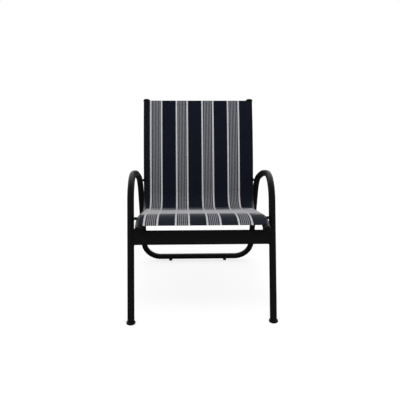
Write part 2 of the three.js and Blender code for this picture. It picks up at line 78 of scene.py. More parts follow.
# How much further than the plain solid sheet the cloth reaches along the rails
CLOTH_FRONT_REACH = 0.0040
CLOTH_TOP_REACH = 0.0040

# Side frame: where the straight runs of one side's tube would meet. The gap is how far the
# tube's inner side lies outside the rail's outer side, seen from in front.
GLIDE_HEIGHT = 0.0082
FOOT = {"gap": 0.0112, "y": -0.024, "z": 0}
ARM_FRONT = {"gap": 0.0127, "y": 0.173, "z": 0.5785}
ARM_MIDDLE = {"gap": 0.0087, "y": 0.377, "z": 0.5405}
ARM_REAR = {"gap": 0.0052, "y": 0.549, "z": 0.4695}
BASE_CORNER = {"gap": -0.0018, "y": 0.6416, "z": GLIDE_HEIGHT + TUBE_RADIUS}
ARM_CORNERS = [ARM_FRONT, ARM_MIDDLE, ARM_REAR]
ARM_RADII = [0.127, 0.570, 0.127]
BASE_CORNER_RADIUS = 0.086
SPLICE_HEIGHT = 0.140

# Front stretcher
STRETCHER_DROP = 0.0862
STRETCHER_WIDTH = 0.060
STRETCHER_THICKNESS = 0.020
STRETCHER_CORNER = 0.004
STRETCHER_CORNER_STEPS = 6

# Sling, as its upper surface runs in side view
SEAT_FRONT_HEIGHT = 0.4175
FRONT_LIP_ANGLE = math.radians(17.8)
FRONT_ROLL_RADIUS = 0.220
SEAT_SLOPE = math.radians(12.3)
SEAT_FLAT_LENGTH = 0.295
HIP_BEND_RADIUS = 0.0785
RECLINE_LOW = math.radians(12.5)
RECLINE_TOP = math.radians(24.5)
BACK_LENGTH = 0.443
FABRIC_THICKNESS = 0.001
FABRIC_HEIGHT = RAIL_RADIUS + FIT + FABRIC_THICKNESS / 2
FABRIC_TOP = FABRIC_HEIGHT + FABRIC_THICKNESS / 2

# The cloth's edges, turned down into the grooves, and how finely the sheet is divided
EDGE_TURN_RADIUS = 0.0013
EDGE_TURN_STEPS = 5
EDGE_NECK_STEPS = 3
SHEET_COLUMNS = 64
SHEET_ROWS = 168
CLOTH_SMOOTH_ANGLE = math.radians(70)

# Hems at the sling's two ends, and the stitches that hold them
HEM_WIDTH = 0.025
HEM_RADIUS = 0.0006
HEM_CLEAR_OF_RAIL = 0.007
HEM_STEPS = 5
HEM_FOLD_STEPS = 6
STITCH_PITCH = 0.0038
STITCH_LENGTH = 0.0028
STITCH_WIDTH = 0.0006
STITCH_SIDES = 6
STITCH_RINGS = 4
STITCH_INSETS = (0.0175, 0.0215)

# How far the middle of the stretched cloth leaves the line between the rails, and where each
# lift or dip starts or ends, as distances along the rail or shares of the back's length. The
# power sets how flat the bow between the rails is.
HIP_LIFT = 0.009
ROLL_DIP = 0.0038
BACK_DIP = 0.002
ROLL_DIP_END = 0.165
HIP_LIFT_START = 0.331
HIP_LIFT_END_SHARE = 0.25
BACK_DIP_START_SHARE = 0.2
BOW_POWER = 4

# Spreader bars
SPREADER_RADIUS = 0.011
SPREADER_WALL = 0.0014
SEAT_SPREADER_DISTANCE = 0.262
SEAT_SPREADER_BOW = 0.028
SEAT_SPREADER_END_RUN = 0.048
SEAT_SPREADER_SLANT_RUN = 0.072
SEAT_SPREADER_BEND_RADIUS = 0.055
BACK_SPREADER_DROP = 0.120

# Welds
WELD_SIZE = 0.0021
WELD_RIPPLE_SHARE = 0.14
WELD_RIPPLE_PITCH = 0.0022
WELD_POINTS = 120
WELD_ROUND_STEPS = 2

# Caps and pads
RAIL_CAP_RADIUS = 0.017
RAIL_CAP_HEIGHT = 0.008
RAIL_CAP_DOME = 0.0062
RAIL_CAP_DOME_STEPS = 8
RAIL_CAP_EDGE = 0.0007
RAIL_CAP_EDGE_STEPS = 2
FOOT_CAP_RADIUS = 0.019
FOOT_CAP_HEIGHT = 0.009
FOOT_CAP_EDGE = 0.003
FOOT_CAP_EDGE_STEPS = 5
CAP_SIDES = 48
SMALL_SIDES = 32
SMOOTH_ANGLE = math.radians(38)

# Glides, spacers and bolts
GLIDE_RADIUS = 0.0085
GLIDE_EDGE = 0.0015
GLIDE_EDGE_STEPS = 4
GLIDE_TOP = 0.0122
GLIDE_HOLE_RADIUS = 0.0041
GLIDE_HOLE_DEPTH = 0.0049
SPACER_EDGE = 0.0006
SPACER_EDGE_STEPS = 3
BOLT_RADIUS = 0.003
BOLT_HEAD_HEIGHT = 0.0034
BOLT_HEAD_ROUND_SHARE = 0.8
BOLT_HEAD_ROUND_STEPS = 5
BOLT_SOCKET_RADIUS = 0.0023
BOLT_SOCKET_DEPTH = 0.002
BOLT_SOCKET_SIDES = 6

# Camera
CAMERA_PLACE = (-0.0792, -1.9028, 1.0601)
CAMERA_AZIMUTH = math.radians(2.033)
CAMERA_PITCH = math.radians(15.905)
CAMERA_ROLL = math.radians(0.2366)
CAMERA_LENS = 45.88
CAMERA_SENSOR_WIDTH = 36

LEFT = -1
RIGHT = 1
RIGHTWARD = Vector((1, 0, 0))
UPWARD = Vector((0, 0, 1))


# Small steps used by every piece
def deselect_all():
    bpy.ops.object.select_all(action="DESELECT")


def make_active(piece):
    deselect_all()
    piece.select_set(True)
    bpy.context.view_layer.objects.active = piece


def take_new(name):
    """The primitive just added, named, with its place moved into its mesh."""
    piece = bpy.context.object
    piece.name = name
    piece.data.name = name
    bpy.ops.object.transform_apply(location=True, rotation=True, scale=True)
    return piece


@contextmanager
def editing(piece):
    make_active(piece)
    bpy.ops.object.mode_set(mode="EDIT")
    yield bmesh.from_edit_mesh(piece.data)
    bpy.ops.object.mode_set(mode="OBJECT")


def select_only(mesh, chosen):
    bpy.ops.mesh.select_all(action="DESELECT")
    for part in chosen:
        part.select_set(True)
    mesh.select_flush_mode()


def apply_modifier(piece, kind, **settings):
    modifier = piece.modifiers.new(kind.title(), kind)
    for setting, value in settings.items():
        setattr(modifier, setting, value)
    make_active(piece)
    bpy.ops.object.modifier_apply(modifier=modifier.name)


def smooth(piece, angle=SMOOTH_ANGLE):
    make_active(piece)
    bpy.ops.object.shade_smooth_by_angle(angle=angle)


def face_outwards(piece):
    with editing(piece):
        bpy.ops.mesh.select_all(action="SELECT")
        bpy.ops.mesh.remove_doubles(threshold=JOIN_DISTANCE)
        bpy.ops.mesh.normals_make_consistent(inside=False)


def cut_away(piece, tool):
    """Cuts the tool's shape out of the piece, and removes the tool."""
    apply_modifier(piece, "BOOLEAN", operation="DIFFERENCE", object=tool, solver="EXACT")
    bpy.data.objects.remove(tool)


def set_down(piece, place, heading):
    """Turns a piece made upright at the origin to face along the heading, and places it."""
    turned = heading.to_track_quat("Z", "Y").to_matrix().to_4x4()
    piece.data.transform(Matrix.Translation(place) @ turned)
    piece.data.update()


def add_rod(name, start, end, radius, sides=SMALL_SIDES):
    """A closed round bar from one point to another."""
    deselect_all()
    run = end - start
    turned = run.to_track_quat("Z", "Y").to_euler()
    bpy.ops.mesh.primitive_cylinder_add(
        vertices=sides, radius=radius, depth=run.length, location=(start + end) / 2, rotation=turned
    )
    return take_new(name)


# Tubes, made as a pipe bender makes them
class Bender:
    """Feeds straight lengths and turns bends from the outline that the piece holds."""

    def __init__(self, piece, place, heading):
        self.place = place.copy()
        self.heading = heading.normalized()
        make_active(piece)
        bpy.ops.object.mode_set(mode="EDIT")
        bpy.ops.mesh.select_all(action="SELECT")

    def feed(self, length):
        step = self.heading * length
        bpy.ops.mesh.extrude_region_move(TRANSFORM_OT_translate={"value": step})
        self.place += step

    def bend(self, radius, turn, axis):
        centre = self.place + axis.cross(self.heading) * radius
        steps = max(FEWEST_BEND_STEPS, math.ceil(turn / BEND_STEP))
        bpy.ops.mesh.spin(steps=steps, angle=turn, center=centre, axis=-axis)
        turning = Quaternion(axis, turn)
        self.place = centre + turning @ (self.place - centre)
        self.heading = turning @ self.heading

    def finish(self):
        bpy.ops.object.mode_set(mode="OBJECT")


def bent_tube(name, corners, radii, radius, wall):
    """A tube through straight runs that meet at the corners, each rounded to its radius."""
    runs = [(b - a).normalized() for a, b in zip(corners, corners[1:])]
    deselect_all()
    turned = runs[0].to_track_quat("Z", "Y").to_euler()
    bpy.ops.mesh.primitive_circle_add(
        vertices=TUBE_SIDES, radius=radius, location=corners[0], rotation=turned
    )
    piece = take_new(name)
    bender = Bender(piece, corners[0], runs[0])
    for corner, before, after, bend_radius in zip(corners[1:], runs, runs[1:], radii):
        turn = before.angle(after)
        reach = bend_radius * math.tan(turn / 2)
        bender.feed((corner - bender.place).length - reach)
        bender.bend(bend_radius, turn, before.cross(after).normalized())
    bender.feed((corners[-1] - bender.place).length)
    bender.finish()
    face_outwards(piece)
    apply_modifier(piece, "SOLIDIFY", thickness=wall, offset=-1)
    return piece


# Lines in side view, made of straight spans and round spans
def along_and_up(angle):
    along = Vector((0, math.cos(angle), math.sin(angle)))
    up = Vector((0, -math.sin(angle), math.cos(angle)))
    return along, up


def follow(spans, distance, place, angle):
    """Follows spans from a place and a heading angle, and gives both at the distance.

    A span is its length and the angle that it turns by. The last span goes on past its end.
    """
    for i, (length, turn) in enumerate(spans):
        last = i == len(spans) - 1
        step = distance if last else min(distance, length)
        if turn == 0:
            place = place + along_and_up(angle)[0] * step
        else:
            radius = length / turn
            centre = place + along_and_up(angle)[1] * radius
            angle += turn * step / length
            place = centre - along_and_up(angle)[1] * radius
        distance -= step
        if distance <= 0:
            break
    return place, angle


# The rails' centre line, from the front cap to the top cap
def round_span(radius, turn):
    """A span of the rail where the cloth's upper surface is bent to the radius."""
    return abs(turn) * (radius + math.copysign(FABRIC_TOP, turn)), turn


BACK_TURN = RECLINE_LOW - RECLINE_TOP
BACK_CURVE = round_span(BACK_LENGTH / abs(BACK_TURN), BACK_TURN)
RAIL_SPANS = [
    (RAIL_FRONT_OVERHANG, 0),
    round_span(FRONT_ROLL_RADIUS, -FRONT_LIP_ANGLE - SEAT_SLOPE),
    (SEAT_FLAT_LENGTH, 0),
    round_span(HIP_BEND_RADIUS, SEAT_SLOPE + math.pi / 2 - RECLINE_LOW),
    BACK_CURVE,
    (RAIL_TOP_OVERHANG, 0),
]
RAIL_LENGTH = sum(length for length, turn in RAIL_SPANS)
BACK_END = RAIL_LENGTH - RAIL_TOP_OVERHANG
HIP_END = BACK_END - BACK_CURVE[0]
SHEET_START = RAIL_FRONT_OVERHANG - CLOTH_FRONT_REACH
SHEET_END = BACK_END + CLOTH_TOP_REACH
BACK_SPREADER_DISTANCE = RAIL_LENGTH - BACK_SPREADER_DROP


def rail_start():
    along, up = along_and_up(FRONT_LIP_ANGLE)
    edge = Vector((0, FRONT_Y, SEAT_FRONT_HEIGHT))
    return edge - up * FABRIC_TOP - along * RAIL_FRONT_OVERHANG


def rail_place(distance):
    """The rail's centre at a distance along it, with its heading there as an angle."""
    return follow(RAIL_SPANS, distance, rail_start(), FRONT_LIP_ANGLE)


# The side frame's places
def side_point(side, corner):
    x = side * (RAIL_X + RAIL_RADIUS + corner["gap"] + TUBE_RADIUS)
    return Vector((x, FRONT_Y + corner["y"], corner["z"]))


def splice_point(side):
    """Where the side tube ends in the rear leg and the floor tube starts."""
    arm_rear = side_point(side, ARM_REAR)
    run = side_point(side, BASE_CORNER) - arm_rear
    return arm_rear + run * ((SPLICE_HEIGHT - arm_rear.z) / run.z)


# Frame pieces
def side_tube(name, side):
    """Front leg, arm and rear leg in one tube, cut level over the foot cap."""
    foot = side_point(side, FOOT)
    arm = [side_point(side, corner) for corner in ARM_CORNERS]
    start = foot - (arm[0] - foot).normalized() * TUBE_RADIUS
    corners = [start, *arm, splice_point(side)]
    piece = bent_tube(name, corners, ARM_RADII, TUBE_RADIUS, TUBE_WALL)
    with editing(piece):
        bpy.ops.mesh.select_all(action="SELECT")
        level = UPWARD * (FOOT_CAP_HEIGHT + FIT)
        bpy.ops.mesh.bisect(plane_co=level, plane_no=UPWARD, clear_inner=True, use_fill=True)
    smooth(piece)
    return piece


def floor_tube(name):
    corners = []
    for side in (RIGHT, LEFT):
        corner = side_point(side, BASE_CORNER)
        upturn = splice_point(side)
        upturn += (corner - upturn).normalized() * FIT
        corners += [upturn, corner] if side == RIGHT else [corner, upturn]
    piece = bent_tube(name, corners, [BASE_CORNER_RADIUS] * 2, TUBE_RADIUS, TUBE_WALL)
    smooth(piece)
    return piece


def leg_line():
    """The right front leg's heading, and the place on it level with the stretcher."""
    foot = side_point(RIGHT, FOOT)
    run = (side_point(RIGHT, ARM_FRONT) - foot).normalized()
    rise = (SEAT_FRONT_HEIGHT - STRETCHER_DROP - foot.z) / run.z
    return run, foot + run * rise


def front_stretcher(name):
    run, middle = leg_line()
    lean = math.atan2(run.y, run.z)
    deselect_all()
    bpy.ops.mesh.primitive_cube_add(
        size=1,
        location=(0, middle.y, middle.z),
        rotation=(-lean, 0, 0),
        scale=(2 * middle.x, STRETCHER_THICKNESS, STRETCHER_WIDTH),
    )
    piece = take_new(name)
    with editing(piece) as mesh:
        girth = STRETCHER_WIDTH + STRETCHER_THICKNESS
        select_only(mesh, [e for e in mesh.edges if e.calc_length() > girth])
        steps = STRETCHER_CORNER_STEPS
        bpy.ops.mesh.bevel(offset=STRETCHER_CORNER, segments=steps, affect="EDGES")
    for side in (LEFT, RIGHT):
        reach = run * STRETCHER_WIDTH
        ends = [Vector((side * p.x, p.y, p.z)) for p in (middle - reach, middle + reach)]
        cut_away(piece, add_rod("leg_cut", *ends, TUBE_RADIUS + WELD_GAP, CUT_SIDES))
    smooth(piece)
    return piece


def rail_outline(name, side):
    """The rail's section at its front end: a round with the groove let into its top."""
    place, angle = rail_place(0)
    place += RIGHTWARD * side * RAIL_X
    along, up = along_and_up(angle)
    across = up.cross(along)
    turned = Matrix((across, up, along)).transposed().to_euler()
    deselect_all()
    bpy.ops.mesh.primitive_circle_add(
        vertices=RAIL_SIDES, radius=RAIL_RADIUS, location=place, rotation=turned
    )
    piece = take_new(name)
    groove = place + up * GROOVE_HEIGHT
    with editing(piece) as mesh:
        top = max(mesh.verts, key=lambda v: v.co.dot(up))
        select_only(mesh, [top])
        bpy.ops.mesh.delete(type="VERT")
        open_ends = [v for v in mesh.verts if len(v.link_edges) == 1]
        lip = max(open_ends, key=lambda v: v.co.dot(across))
        out = (lip.co - place).dot(across)
        mouth = math.sqrt(GROOVE_RADIUS ** 2 - out ** 2)
        drop = (lip.co - groove).dot(up) - mouth
        select_only(mesh, [lip])
        bpy.ops.mesh.extrude_region_move(TRANSFORM_OT_translate={"value": -up * drop})
        half = math.pi - math.asin(out / GROOVE_RADIUS)
        bpy.ops.mesh.spin(steps=GROOVE_STEPS, angle=2 * half, center=groove, axis=along)
        mesh = bmesh.from_edit_mesh(piece.data)
        open_ends = [v for v in mesh.verts if len(v.link_edges) == 1]
        select_only(mesh, open_ends)
        bpy.ops.mesh.edge_face_add()
    return piece, place, along


def sling_rail(name, side):
    piece, place, along = rail_outline(name, side)
    bender = Bender(piece, place, along)
    for length, turn in RAIL_SPANS:
        if turn == 0:
            bender.feed(length)
        else:
            bender.bend(length / abs(turn), abs(turn), RIGHTWARD * math.copysign(1, turn))
    bender.finish()
    with editing(piece):
        bpy.ops.mesh.select_all(action="SELECT")
        bpy.ops.mesh.fill_holes(sides=0)
    face_outwards(piece)
    smooth(piece)
    return piece


def spreader_corners(bow):
    """The spreader's corners as (x, rise), with a bowed middle or straight across."""
    start = RAIL_X - SEAT_SPREADER_END_RUN
    end = start - SEAT_SPREADER_SLANT_RUN
    half = [(RAIL_X, 0)]
    if bow:
        half += [(start, 0), (end, -bow)]
    return half + [(-x, rise) for x, rise in reversed(half)]


def spreader(name, distance, bow):
    place, angle = rail_place(distance)
    along, up = along_and_up(angle)
    corners = [place + RIGHTWARD * x + up * rise for x, rise in spreader_corners(bow)]
    radii = [SEAT_SPREADER_BEND_RADIUS] * (len(corners) - 2)
    piece = bent_tube(name, corners, radii, SPREADER_RADIUS, SPREADER_WALL)
    for side in (LEFT, RIGHT):
        middle = place + RIGHTWARD * side * RAIL_X
        reach = along * RAIL_RADIUS * 2
        ends = (middle - reach, middle + reach)
        cut_away(piece, add_rod("rail_cut", *ends, RAIL_RADIUS + WELD_GAP, CUT_SIDES))
    smooth(piece)
    return piece


# Welds: a rippled bead along a closed line
def weld_bead(name, points):
    curve = bpy.data.curves.new(name, "CURVE")
    curve.dimensions = "3D"
    curve.bevel_depth = WELD_SIZE
    curve.bevel_resolution = WELD_ROUND_STEPS
    line = curve.splines.new("POLY")
    line.points.add(len(points) - 1)
    line.use_cyclic_u = True
    length = sum((b - a).length for a, b in zip(points, points[1:]))
    waves = round(length / WELD_RIPPLE_PITCH)
    for i, (spot, place) in enumerate(zip(line.points, points)):
        spot.co = (*place, 1)
        spot.radius = 1 + WELD_RIPPLE_SHARE * math.sin(2 * math.pi * waves * i / len(points))
    piece = bpy.data.objects.new(name, curve)
    bpy.context.scene.collection.objects.link(piece)
    make_active(piece)
    bpy.ops.object.convert(target="MESH")
    piece = bpy.context.object
    face_outwards(piece)
    smooth(piece)
    return piece


def ring_round_tube(outline, middle, side, lengthwise, crosswise, radius):
    """Points where an outline, seen along X, meets a tube that runs lengthwise."""
    points = []
    for u, w in outline:
        reach = math.sqrt(radius ** 2 - w ** 2)
        points.append(middle + lengthwise * u + crosswise * w - RIGHTWARD * side * reach)
    return points


def rounded_outline(width, height, corner):
    """Evenly spaced points round a rectangle with rounded corners."""
    rounding = (corner * math.pi / 2, math.pi / 2)
    spans = [(height - 2 * corner, 0), rounding, (width - 2 * corner, 0), rounding] * 2
    whole = sum(length for length, turn in spans)
    start = Vector((0, width / 2, -height / 2 + corner))
    points = []
    for i in range(WELD_POINTS):
        place = follow(spans, whole * i / WELD_POINTS, start, math.pi / 2)[0]
        points.append((place.y, place.z))
    return points


def circle_outline(radius):
    turns = [2 * math.pi * i / WELD_POINTS for i in range(WELD_POINTS)]
    return [(radius * math.cos(t), radius * math.sin(t)) for t in turns]


def stretcher_weld(name, side):
    run, middle = leg_line()
    outline = rounded_outline(STRETCHER_WIDTH, STRETCHER_THICKNESS, STRETCHER_CORNER)
    crosswise = RIGHTWARD.cross(run).normalized()
    mirrored = Vector((side * middle.x, middle.y, middle.z))
    lengthwise = Vector((side * run.x, run.y, run.z))
    ring = ring_round_tube(outline, mirrored, side, lengthwise, crosswise, TUBE_RADIUS)
    return weld_bead(name, ring)


def spreader_weld(name, side, distance):
    place, angle = rail_place(distance)
    along, up = along_and_up(angle)
    middle = place + RIGHTWARD * side * RAIL_X
    outline = circle_outline(SPREADER_RADIUS)
    return weld_bead(name, ring_round_tube(outline, middle, side, along, up, RAIL_RADIUS))


# Caps, pads, glides and fastenings
def add_disc(name, radius, height, sides=CAP_SIDES):
    """An upright disc that stands on the origin."""
    deselect_all()
    bpy.ops.mesh.primitive_cylinder_add(
        vertices=sides, radius=radius, depth=height, location=(0, 0, height / 2)
    )
    return take_new(name)


def bevel_rim(piece, height, offset, segments):
    """Rounds the outer rim of an upright piece at the given height."""
    with editing(piece) as mesh:
        widest = max(v.co.xy.length for v in mesh.verts)
        rim = [
            e for e in mesh.edges
            if all(abs(v.co.z - height) < FIT and v.co.xy.length > widest - FIT for v in e.verts)
        ]
        select_only(mesh, rim)
        bpy.ops.mesh.bevel(offset=offset, segments=segments, affect="EDGES")


def rail_cap(name, side, distance):
    """A domed plug at the rail's front end, where the distance is 0, or at its top end."""
    piece = add_disc(name, RAIL_CAP_RADIUS, RAIL_CAP_HEIGHT)
    bevel_rim(piece, RAIL_CAP_HEIGHT, RAIL_CAP_DOME, RAIL_CAP_DOME_STEPS)
    bevel_rim(piece, 0, RAIL_CAP_EDGE, RAIL_CAP_EDGE_STEPS)
    place, angle = rail_place(distance)
    along = along_and_up(angle)[0]
    heading = along if distance > 0 else -along
    set_down(piece, place + RIGHTWARD * side * RAIL_X + heading * FIT, heading)
    smooth(piece)
    return piece


def foot_cap(name, side):
    piece = add_disc(name, FOOT_CAP_RADIUS, FOOT_CAP_HEIGHT)
    for height in (FOOT_CAP_HEIGHT, 0):
        bevel_rim(piece, height, FOOT_CAP_EDGE, FOOT_CAP_EDGE_STEPS)
    set_down(piece, side_point(side, FOOT), UPWARD)
    smooth(piece)
    return piece


def rear_glide(name, node):
    """A glide with a saddle for the floor tube and a hole for its screw."""
    low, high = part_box(node)
    piece = add_disc(name, GLIDE_RADIUS, GLIDE_TOP)
    bevel_rim(piece, 0, GLIDE_EDGE, GLIDE_EDGE_STEPS)
    place = Vector(((low.x + high.x) / 2, (low.y + high.y) / 2, 0))
    set_down(piece, place, UPWARD)
    tube_middle = place + UPWARD * BASE_CORNER["z"]
    across = RIGHTWARD * GLIDE_RADIUS * 2
    ends = (tube_middle - across, tube_middle + across)
    cut_away(piece, add_rod("tube_cut", *ends, TUBE_RADIUS + GLIDE_GAP, CUT_SIDES))
    depth = UPWARD * GLIDE_HOLE_DEPTH
    cut_away(piece, add_rod("hole_cut", place - depth, place + depth, GLIDE_HOLE_RADIUS))
    smooth(piece)
    return piece


def point_outwards(piece, low, high, side):
    """Lays an upright piece along X in its box, with its foot towards the chair's middle."""
    start = low.x if side == RIGHT else high.x
    place = Vector((start, (low.y + high.y) / 2, (low.z + high.z) / 2))
    set_down(piece, place, RIGHTWARD * side)
    smooth(piece)


def rail_spacer(name, node, side):
    low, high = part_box(node)
    length = high.x - low.x
    piece = add_disc(name, (high.z - low.z) / 2, length, SMALL_SIDES)
    for height in (0, length):
        bevel_rim(piece, height, SPACER_EDGE, SPACER_EDGE_STEPS)
    point_outwards(piece, low, high, side)
    return piece


def rail_bolt(name, node, side):
    """A button-head bolt that points away from the middle of the chair."""
    low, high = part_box(node)
    head_radius = (high.z - low.z) / 2
    piece = add_disc(name, head_radius, BOLT_HEAD_HEIGHT, SMALL_SIDES)
    bevel_rim(piece, 0, BOLT_HEAD_HEIGHT * BOLT_HEAD_ROUND_SHARE, BOLT_HEAD_ROUND_STEPS)
    with editing(piece) as mesh:
        top = max(mesh.faces, key=lambda f: f.calc_center_median().z)
        select_only(mesh, [top])
        bpy.ops.mesh.inset(thickness=head_radius - BOLT_RADIUS)
        shank = UPWARD * (high.x - low.x - BOLT_HEAD_HEIGHT)
        bpy.ops.mesh.extrude_region_move(TRANSFORM_OT_translate={"value": shank})
    depth = UPWARD * BOLT_SOCKET_DEPTH
    cut_away(piece, add_rod("socket_cut", -depth, depth, BOLT_SOCKET_RADIUS, BOLT_SOCKET_SIDES))
    point_outwards(piece, low, high, side)
    return piece


# The sling: one sheet, its edges turned down into the rails' grooves and its ends hemmed
def sheet_section():
    """Places across the sheet as (x, height over the rail's centre, distance across).

    The numbers of the first and the last place of the flat part between the rails follow.
    """
    turn_height = FABRIC_HEIGHT - EDGE_TURN_RADIUS
    neck = turn_height - GROOVE_HEIGHT
    edge = [(RAIL_X, GROOVE_HEIGHT + neck * i / EDGE_NECK_STEPS) for i in range(EDGE_NECK_STEPS)]
    for i in range(EDGE_TURN_STEPS + 1):
        angle = math.pi / 2 * i / EDGE_TURN_STEPS
        x = RAIL_X - EDGE_TURN_RADIUS + EDGE_TURN_RADIUS * math.cos(angle)
        edge.append((x, turn_height + EDGE_TURN_RADIUS * math.sin(angle)))
    inner = RAIL_X - HEM_CLEAR_OF_RAIL
    width = 2 * inner
    flat = [(inner - width * i / SHEET_COLUMNS, FABRIC_HEIGHT) for i in range(SHEET_COLUMNS + 1)]
    far_edge = [(-x, height) for x, height in reversed(edge)]
    outline = edge + flat + far_edge
    steps = [math.dist(a, b) for a, b in zip(outline, outline[1:])]
    runs = list(accumulate(steps, initial=0))
    centre = runs[len(runs) // 2]
    places = [(x, height, centre - run) for (x, height), run in zip(outline, runs)]
    return places, len(edge), len(edge) + SHEET_COLUMNS


def wave(distance, start, end):
    """Rises from 0 at the start to 1 halfway and back to 0 at the end."""
    share = (distance - start) / (end - start)
    return math.sin(math.pi * share) ** 2 if 0 < share < 1 else 0


def middle_lift(distance):
    """How far the stretched cloth's middle stands off the line between the rails."""
    lift_end = HIP_END + BACK_LENGTH * HIP_LIFT_END_SHARE
    dip_start = HIP_END + BACK_LENGTH * BACK_DIP_START_SHARE
    lift = HIP_LIFT * wave(distance, HIP_LIFT_START, lift_end)
    lift -= ROLL_DIP * wave(distance, RAIL_FRONT_OVERHANG, ROLL_DIP_END)
    return lift - BACK_DIP * wave(distance, dip_start, BACK_END)


def hem_rows():
    """A hem from its raw edge to its fold, as (distance from the sheet's end, drop, length)."""
    rows = []
    for i in range(HEM_STEPS):
        under = HEM_WIDTH * (1 - i / HEM_STEPS)
        rows.append((under, 2 * HEM_RADIUS, under + math.pi * HEM_RADIUS))
    for i in range(HEM_FOLD_STEPS):
        angle = math.pi * (1 - i / HEM_FOLD_STEPS)
        past_end = HEM_RADIUS * math.sin(angle)
        rows.append((-past_end, HEM_RADIUS * (1 - math.cos(angle)), HEM_RADIUS * angle))
    return rows


def sheet_rows():
    """Rows of the sheet as (distance along the rail, drop under the sheet, cloth length).

    The numbers of the first and the last row of the sheet between its folds follow.
    """
    hem = hem_rows()
    length = SHEET_END - SHEET_START
    front = [(SHEET_START + inward, drop, -run) for inward, drop, run in hem]
    runs = [length * i / SHEET_ROWS for i in range(SHEET_ROWS + 1)]
    main = [(SHEET_START + run, 0, run) for run in runs]
    top = [(SHEET_END - inward, drop, length + run) for inward, drop, run in reversed(hem)]
    return front + main + top, len(hem), len(hem) + SHEET_ROWS


def sheet_line(mesh, section, row, cloth):
    """A row's points across the sheet. Their places on the flat cloth go into the table."""
    distance, drop, run = row
    place, angle = rail_place(distance)
    up = along_and_up(angle)[1]
    line = []
    for x, height, across in section:
        bow = middle_lift(distance) * (1 - (x / RAIL_X) ** BOW_POWER)
        vertex = mesh.verts.new(place + RIGHTWARD * x + up * (height + bow - drop))
        cloth[vertex] = (across, run)
        line.append(vertex)
    return line


def sling_sheet(name):
    section, first_flat, last_flat = sheet_section()
    rows, first_main, last_main = sheet_rows()
    mesh = bmesh.new()
    uv = mesh.loops.layers.uv.new("cloth")
    cloth = {}
    grid = [sheet_line(mesh, section, row, cloth) for row in rows]
    for i, (line, following) in enumerate(zip(grid, grid[1:])):
        main = first_main <= i < last_main
        columns = range(len(line) - 1) if main else range(first_flat, last_flat)
        for j in columns:
            face = mesh.faces.new((line[j], line[j + 1], following[j + 1], following[j]))
            for loop in face.loops:
                loop[uv].uv = cloth[loop.vert]
    loose = [v for v in mesh.verts if not v.link_faces]
    bmesh.ops.delete(mesh, geom=loose, context="VERTS")
    data = bpy.data.meshes.new(name)
    mesh.to_mesh(data)
    mesh.free()
    piece = bpy.data.objects.new(name, data)
    bpy.context.scene.collection.objects.link(piece)
    apply_modifier(piece, "SOLIDIFY", thickness=FABRIC_THICKNESS, offset=0)
    smooth(piece, CLOTH_SMOOTH_ANGLE)
    return piece


def stitch_row(name, distance):
    """A row of stitches across the hem, standing a little out of the cloth."""
    place, angle = rail_place(distance)
    up = along_and_up(angle)[1]
    reach = RAIL_X - HEM_CLEAR_OF_RAIL - STITCH_PITCH
    deselect_all()
    bpy.ops.mesh.primitive_uv_sphere_add(
        segments=STITCH_SIDES,
        ring_count=STITCH_RINGS,
        radius=1,
        location=place - RIGHTWARD * reach + up * FABRIC_TOP,
        rotation=(angle, 0, 0),
        scale=(STITCH_LENGTH / 2, STITCH_WIDTH / 2, STITCH_WIDTH / 2),
    )
    piece = take_new(name)
    apply_modifier(
        piece,
        "ARRAY",
        count=int(2 * reach / STITCH_PITCH),
        use_relative_offset=False,
        use_constant_offset=True,
        constant_offset_displace=RIGHTWARD * STITCH_PITCH,
    )
    smooth(piece, math.pi)
    return piece


# Materials. A noise is its scale, detail and roughness, and a grain its detail and roughness.
FINE_GRAIN = (3.0, 0.6)
COARSE_GRAIN = (2.0, 0.5)
COARSE_SCALE_SHARE = 0.22
COARSE_HEIGHT_SHARE = 0.6
GRAIN_BUMP = 0.35
PATCH_NOISE = (14.0, 4.0, 0.55)
PATCH_RANGE = (0.3, 0.7)
PATCH_LIGHTER_SHARE = 1.35
SPECK_NOISE = (260.0, 4.0, 0.7)
CLOUD_NOISE = (22.0, 3.0, 0.5)
DUSTY_SLOPE = (0.2, 1)
DUST_SHARE = 0.015
DUST_COLOUR = (0.32, 0.30, 0.27, 1)
WHOLE_RANGE = (0, 1)
WHITE = (1, 1, 1, 1)

# Coated and moulded surfaces: colour, range of roughness, grain scale, grain depth, metallic
FINISHES = {
    "black_powder_coat": ((0.0026, 0.0026, 0.0029), (0.34, 0.44), 1100.0, 0.00012, 0),
    "black_moulded_plastic": ((0.0030, 0.0030, 0.0032), (0.46, 0.58), 2600.0, 0.00005, 0),
    "black_zinc_plate": ((0.035, 0.035, 0.037), (0.32, 0.42), 3000.0, 0.00002, 0.9),
    "bright_zinc_plate": ((0.46, 0.47, 0.48), (0.30, 0.42), 3000.0, 0.00002, 1),
    "spline_vinyl": ((0.028, 0.028, 0.03), (0.40, 0.55), 900.0, 0.00004, 0),
}


def new_material(name):
    material = bpy.data.materials.new(name)
    material.use_nodes = True
    tree = material.node_tree
    shader = tree.nodes["Principled BSDF"]
    return material, tree, shader


def new_group(name, inputs, outputs):
    """A shader node group with its two ends placed. The sockets are names with their kinds."""
    tree = bpy.data.node_groups.new(name, "ShaderNodeTree")
    for direction, sockets in (("INPUT", inputs), ("OUTPUT", outputs)):
        for socket, kind in sockets.items():
            tree.interface.new_socket(name=socket, in_out=direction, socket_type=kind)
    start = tree.nodes.new("NodeGroupInput")
    end = tree.nodes.new("NodeGroupOutput")
    return tree, start.outputs, end.inputs


def use_group(tree, group, **settings):
    node = tree.nodes.new("ShaderNodeGroup")
    node.node_tree = group
    for name, value in settings.items():
        put(tree, node.inputs[name.replace("_", " ").title()], value)
    return node.outputs


def put(tree, socket, value):
    """Links a socket to another socket, or sets its value."""
    if isinstance(value, bpy.types.NodeSocket):
        tree.links.new(value, socket)
    else:
        socket.default_value = value


